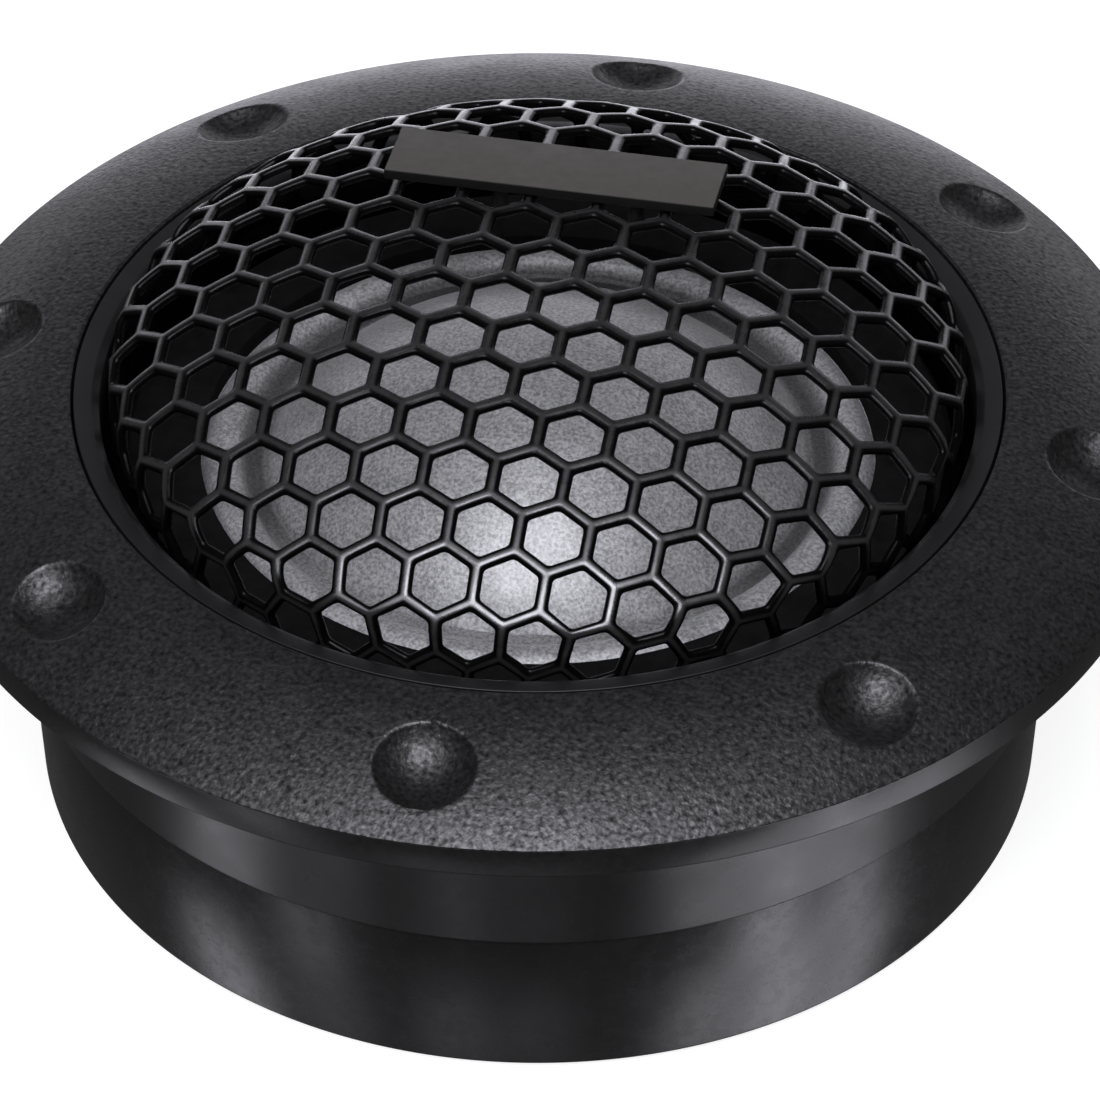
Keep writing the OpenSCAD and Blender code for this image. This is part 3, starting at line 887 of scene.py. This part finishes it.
def yoke():
    """Pressed steel cup with a large outer fillet and a sizing groove round its wall."""
    groove_z = (YOKE_LOW + POLE_TOP) / 2
    groove_r, edge, half = YOKE_R - 0.15, 0.4, 0.25
    return turned([
        (0, YOKE_LOW, 0),
        (YOKE_R, YOKE_LOW, 0.6),
        (YOKE_R, groove_z - edge, 0.1),
        (groove_r, groove_z - half, 0.05),
        (groove_r, groove_z + half, 0.05),
        (YOKE_R, groove_z + edge, 0.1),
        (YOKE_R, POLE_TOP, 0.1),
        (YOKE_IN_R, POLE_TOP, 0.15),
        (YOKE_IN_R, MAGNET_LOW, 0.2),
        (0, MAGNET_LOW, 0),
    ])


def dense(corners, step):
    """An outline through (r, z, radius) corners with extra points, no further apart than step."""
    outline = rounded(corners, 5)
    points = []
    for here, ahead in zip(outline, outline[1:]):
        count = max(1, math.ceil(np.linalg.norm(ahead - here) / step))
        points.extend(here + (ahead - here) * i / count for i in range(count))
    return [*points, outline[-1]]


def damping_pad():
    """Pressed felt disc with a soft edge and an uneven face."""
    low = POLE_TOP + GAP
    corners = [(0, low, 0), (PAD_R, low, 0.25), (PAD_R, PAD_TOP, 0.5), (0, PAD_TOP, 0)]
    return ruffled(lathe(dense(corners, 0.3), 180, closed=False), 2.5, 0.14, 3)


def foam_disc():
    """Open-cell foam ring with torn, uneven faces."""
    low = CUP_FLOOR + GAP
    corners = [
        (FOAM_HOLE_R, low, 0.2),
        (FOAM_R, low, 0.4),
        (FOAM_R, FOAM_TOP, 0.5),
        (FOAM_HOLE_R, FOAM_TOP, 0.4),
        (FOAM_HOLE_R, low + 0.3, 0),
    ]
    return ruffled(lathe(dense(corners, 0.35), 200), 3, 0.2, 7)


# ---- Rear cup ---------------------------------------------------------------------------


def rear_cup():
    """Closed cup under the seam, still without its holes."""
    lip_r = SKIRT_IN_R - 0.05
    lip_in_r = lip_r - CUP_WALL
    low_r = CUP_R - CUP_DRAFT
    chamfer = 0.3
    return turned([
        (0, BACK_Z, 0),
        (low_r - chamfer, BACK_Z, 0.15),
        (low_r, BACK_Z + chamfer, 0.2),
        (CUP_R, SKIRT_LOW, 0.12),
        (lip_r, SKIRT_LOW, 0.03),
        (lip_r, CUP_TOP, 0.1),
        (lip_in_r, CUP_TOP, 0.1),
        (lip_in_r, CUP_FLOOR, 0.4),
        (0, CUP_FLOOR, 0),
    ], 288)


def cup_cutters():
    """The countersunk screw holes and the cable inlet, as objects to be cut out of the cup."""
    low, high = BACK_Z - 0.5, CUP_FLOOR + 0.5
    sink = [
        (0, low, 0),
        (SINK_R, low, 0),
        (SCREW_HOLE_R, BACK_Z + SINK_DEPTH, 0),
        (SCREW_HOLE_R, high, 0),
        (0, high, 0),
    ]
    inlet_r = INLET_R + BUSH_WALL
    inlet = [(0, low, 0), (inlet_r, low, 0), (inlet_r, high, 0), (0, high, 0)]
    shapes = [placed(turned(inlet, 64), Matrix.Translation((0, INLET_Y, 0)))]
    for degrees in CUP_SCREW_ANGLES:
        turn = Matrix.Rotation(math.radians(degrees), 4, "Z")
        shapes.append(placed(turned(sink, 48), turn @ Matrix.Translation((CUP_SCREW_R, 0, 0))))
    return [piece("cutter", shape, black_satin) for shape in shapes]


def grommet():
    """Rubber bush with a rolled lip inside the wall."""
    outer, low, high = INLET_R + BUSH_WALL, BACK_Z + 0.2, CUP_FLOOR + 1
    lip_r = outer + 0.6
    bush = lathe(rounded([
        (INLET_R, low, 0.15),
        (outer, low, 0.1),
        (outer, CUP_FLOOR, 0.05),
        (lip_r, CUP_FLOOR, 0.2),
        (lip_r, high, 0.45),
        (INLET_R, high, 0.3),
    ]), 96)
    return placed(bush, Matrix.Translation((0, INLET_Y, 0)))


# ---- Build ------------------------------------------------------------------------------

black_grain = grained_plastic()
black_satin = satin_plastic("cup_plastic", 0.26)
bezel_satin = satin_plastic("bezel_plastic", 0.45, 0.006, 0.35)
painted_shade_black = dull_black()
steel = metal("motor_steel", (0.55, 0.55, 0.57), 0.35)
dome_cloth = coated_cloth("dome_cloth", 0.22, 0.55, 0.4)
surround_cloth = coated_cloth("surround_cloth", 0.22, 0.55, 0.5)
felt = fibres("felt", (0.05, 0.05, 0.055), (0.16, 0.16, 0.17), 0.3, 0.08)
foam = fibres("foam", (0.02, 0.02, 0.022), (0.09, 0.09, 0.1), 0.6, 0.15)
copper_braid = metal("lead_copper", (0.7, 0.42, 0.25), 0.35)

piece("faceplate_body", faceplate(), black_grain, "housing", ["faceplate"])
piece("bezel_ring", bezel(), bezel_satin, "housing", ["grille_bezel"])
mesh_shape, mesh_crests = grille()
mesh = piece("grille_mesh", mesh_shape, mesh_paint(), "housing", ["grille"], sharp=60)
mesh.data.attributes.new(CREST, "FLOAT", "POINT").data.foreach_set("value", mesh_crests)
piece("blank_plate", nameplate(), plate_paint(), "housing", ["nameplate"])
piece("dome_skin", dome(), dome_cloth, "diaphragm", ["dome"])
roll = piece("surround_roll", surround(), surround_cloth, None, ["surround"])
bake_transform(roll)
blend_outwards(roll, ROLL_MID_R - ROLL_R, ROLL_MID_R + ROLL_R)
foil = metal("former_foil", (0.8, 0.8, 0.8), 0.3, (1, 1, 6))
piece("former_tube", former(), foil, "diaphragm", ["coil_former"])
piece("coil_winding", winding(), wound_copper(), "diaphragm", ["voice_coil"])
for node_name, degrees in LEAD_ANGLES.items():
    way = np.array((math.cos(math.radians(degrees)), math.sin(math.radians(degrees)), 0))
    near, far = way * LEAD_FROM_R + (0, 0, LEAD_Z), way * LEAD_TO_R + (0, 0, LEAD_Z)
    shape = twisted(near, far, LEAD_R, LEAD_LIFT)
    braid = piece(node_name + "_braid", shape, copper_braid, None, [node_name])
    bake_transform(braid)

piece("pole_disc", pole_plate(), steel, "housing", ["pole_plate"])
plated = metal("magnet_plating", (0.68, 0.68, 0.7), 0.2)
piece("magnet_disc", magnet(), plated, "housing", ["magnet"])
piece("yoke_pressing", yoke(), steel, "housing", ["yoke_cup"])
pad = piece("felt_pad", damping_pad(), felt, "housing", ["pole_damping_pad"])
foam_ring = piece("foam_ring", foam_disc(), foam, "housing", ["chamber_foam"])
cup = piece("rear_cup_body", rear_cup(), black_satin, "housing", ["rear_cup"])
cut(cup, *cup_cutters())
piece("inlet_bush", grommet(), rubber(), "housing", ["cable_grommet"])

brass = metal("terminal_brass", (0.8, 0.62, 0.3), 0.3, (1, 1, 5))
CAD_LOOKS = {
    # the ring and chassis under the mesh get near-black painted shade
    "diaphragm_ring": painted_shade_black,
    "chassis": painted_shade_black,
    "terminal_board": fibres("board_fibre", (0.2, 0.1, 0.04), (0.33, 0.19, 0.09), 0.4, 0.01),
    "terminal_positive": brass,
    "terminal_negative": brass,
    "terminal_rivets": metal("rivet_metal", (0.65, 0.65, 0.65), 0.3),
    "chassis_screws": metal("screw_steel", (0.5, 0.5, 0.53), 0.35),
    "cup_screws": metal("black_screw_steel", (0.035, 0.035, 0.037), 0.4),
}
for node_name, material in CAD_LOOKS.items():
    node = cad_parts[node_name]
    if not node.material_slots:
        node.data.materials.append(material)
    for material_slot in node.material_slots:
        material_slot.material = material


# ---- Stage, light and camera ------------------------------------------------------------


def stage():
    """A pale round floor that turns up into a backdrop all round."""
    floor_z = BACK_Z - 0.01
    floor_r, sweep = 1500, 500
    outline = [(0, floor_z)]
    for a in np.linspace(0, math.pi / 2, 24):
        outline.append((floor_r + sweep * math.sin(a), floor_z + sweep - sweep * math.cos(a)))
    outline.append((floor_r + sweep, floor_z + 3000))
    look = Look("pale_floor", Roughness=0.9, Specular_IOR_Level=0.1, Emission_Strength=0.95)
    look.set("Base Color", look.ramp(look.noise(40, detail=3), (0.3, 0.28), (0.7, 0.32)))
    look.set("Emission Color", look.ramp(look.noise(60, detail=2), (0.3, 0.9), (0.7, 0.94)))
    floor = piece("floor", lathe(outline, 96, closed=False), look.material)
    floor.visible_diffuse = False
    floor.visible_glossy = False
    floor.visible_shadow = False


LIGHT_DISTANCE = 0.6
PANEL_SIZE = (0.105, 0.16)
LIGHT_COLOR = (0.985, 0.98, 1.07)


def soft_light(name, turn, rise, width, height, strength):
    """An area light aimed at the object from turn degrees round from the camera and rise degrees up."""
    light = bpy.data.lights.new(name, "AREA")
    light.shape = "RECTANGLE"
    light.size, light.size_y = width, height
    light.energy = strength * math.pi * width * height
    light.color = LIGHT_COLOR
    obj = bpy.data.objects.new(name, light)
    bpy.context.scene.collection.objects.link(obj)
    obj.visible_camera = False
    a, e = math.radians(turn) + VIEW_TURN, math.radians(rise)
    way = Vector((math.sin(a) * math.cos(e), -math.cos(a) * math.cos(e), math.sin(e)))
    obj.location = way * LIGHT_DISTANCE
    obj.rotation_euler = way.to_track_quat("Z", "Y").to_euler()
    return obj


VIEW_RISE = math.radians(40.26)
VIEW_TURN = math.radians(10.9)
VIEW_DISTANCE = 291.73
VIEW_SIDE, VIEW_UP = 0.545, -5.905  # the camera's place off the line through the middle of the flange's edge
LENS = 207.24

camera_data = bpy.data.cameras.new("camera")
camera_data.sensor_width = 36
camera_data.lens = LENS
camera_data.clip_start, camera_data.clip_end = 0.01, 10
camera = bpy.data.objects.new("camera", camera_data)
bpy.context.scene.collection.objects.link(camera)
camera.rotation_euler = Euler((math.pi / 2 - VIEW_RISE, 0, VIEW_TURN))
offset = Vector((VIEW_SIDE, VIEW_UP, VIEW_DISTANCE))
offset.rotate(camera.rotation_euler)
camera.location = (Vector((0, 0, EDGE_H)) + offset) * MM
bpy.context.scene.camera = camera

stage()
soft_light("key", 0, 64, 0.3, 0.3, 11.4)
soft_light("overhead", 0, 90, 0.3, 0.3, 1.2)
soft_light("left_front", -45, 55, 0.3, 0.3, 2.4)
soft_light("back", 180, 8, 0.3, 0.25, 1.35)
soft_light("back_left", -150, 10, 0.25, 0.25, 1.0)
soft_light("back_right", 150, 10, 0.25, 0.25, 1.15)
soft_light("back_low", 180, -14, 0.35, 0.14, 2.8)
# Light thrown back by the table: its panels shape the long highlights on the smooth body.
for turn, rise, strength in [
    (40, -50, 2.2),
    (50, -35, 4.6),
    (60, -50, 3.4),
    (70, -35, 3.1),
    (80, -50, 2.2),
    (0, -50, 0.4),
    (-20, -50, 0.7),
    (-50, -35, 1.4),
    (-50, -50, 0.6),
    (-80, -50, 2.4),
]:
    soft_light(f"low_{turn}_{-rise}", turn, rise, *PANEL_SIZE, strength)

world = bpy.data.worlds.new("room")
bpy.context.scene.world = world
world.use_nodes = True
world.node_tree.nodes["Background"].inputs["Color"].default_value = (0.083, 0.083, 0.083, 1)
bpy.context.scene.view_settings.view_transform = "Standard"
